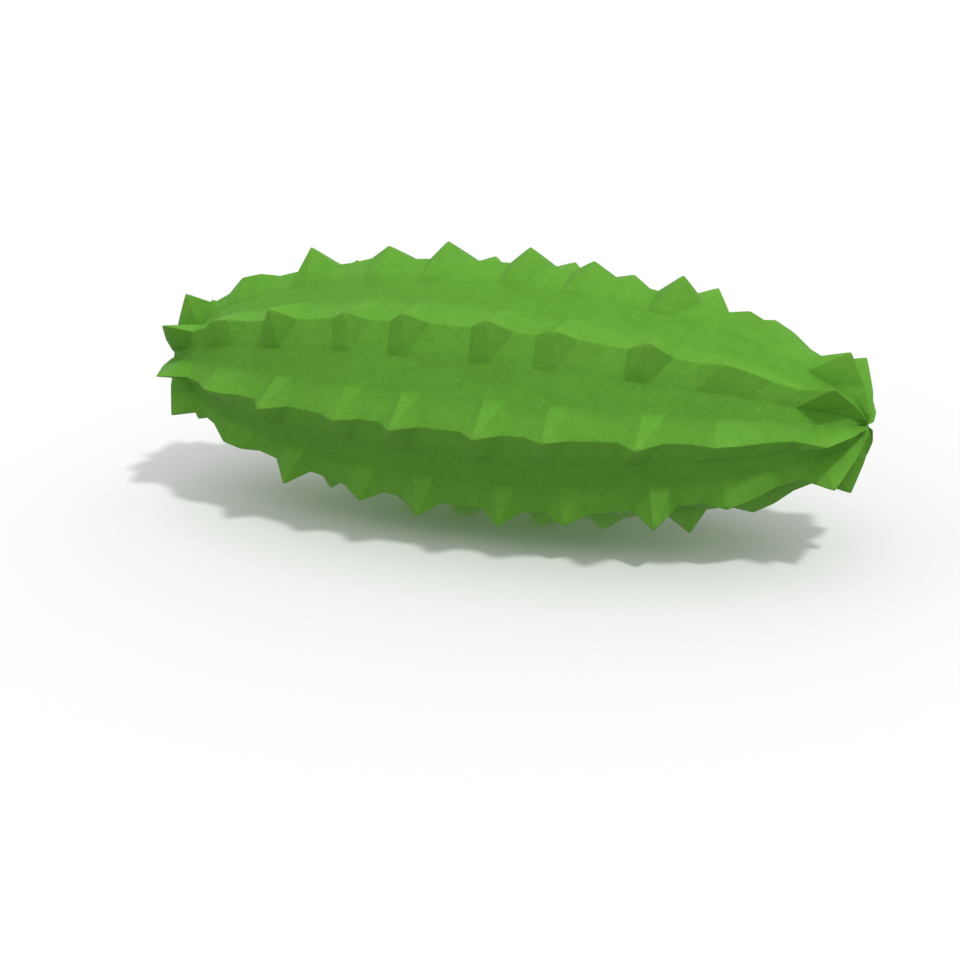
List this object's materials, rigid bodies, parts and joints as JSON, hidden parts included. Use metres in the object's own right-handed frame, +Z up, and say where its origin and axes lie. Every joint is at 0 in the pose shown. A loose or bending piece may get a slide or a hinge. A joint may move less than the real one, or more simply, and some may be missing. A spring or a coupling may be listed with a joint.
{
  "type": "bitter melon",
  "caption": "Whole bitter melon lying on its side: a green spindle fruit with lengthwise ridges of pointed teeth and a crown of teeth at each end.",
  "frame": {"origin": "on the surface that the fruit lies on, under the middle of its length", "axes": "+X along the fruit's axis, towards the end whose crown of teeth stands further out; +Z up; one ridge points straight down"},
  "size_m": [0.15, 0.0584, 0.0563],
  "materials": {
    "skin": "satin"
  },
  "bodies": {
    "root": {"bitter_melon": "skin"}
  },
  "joints": []
}
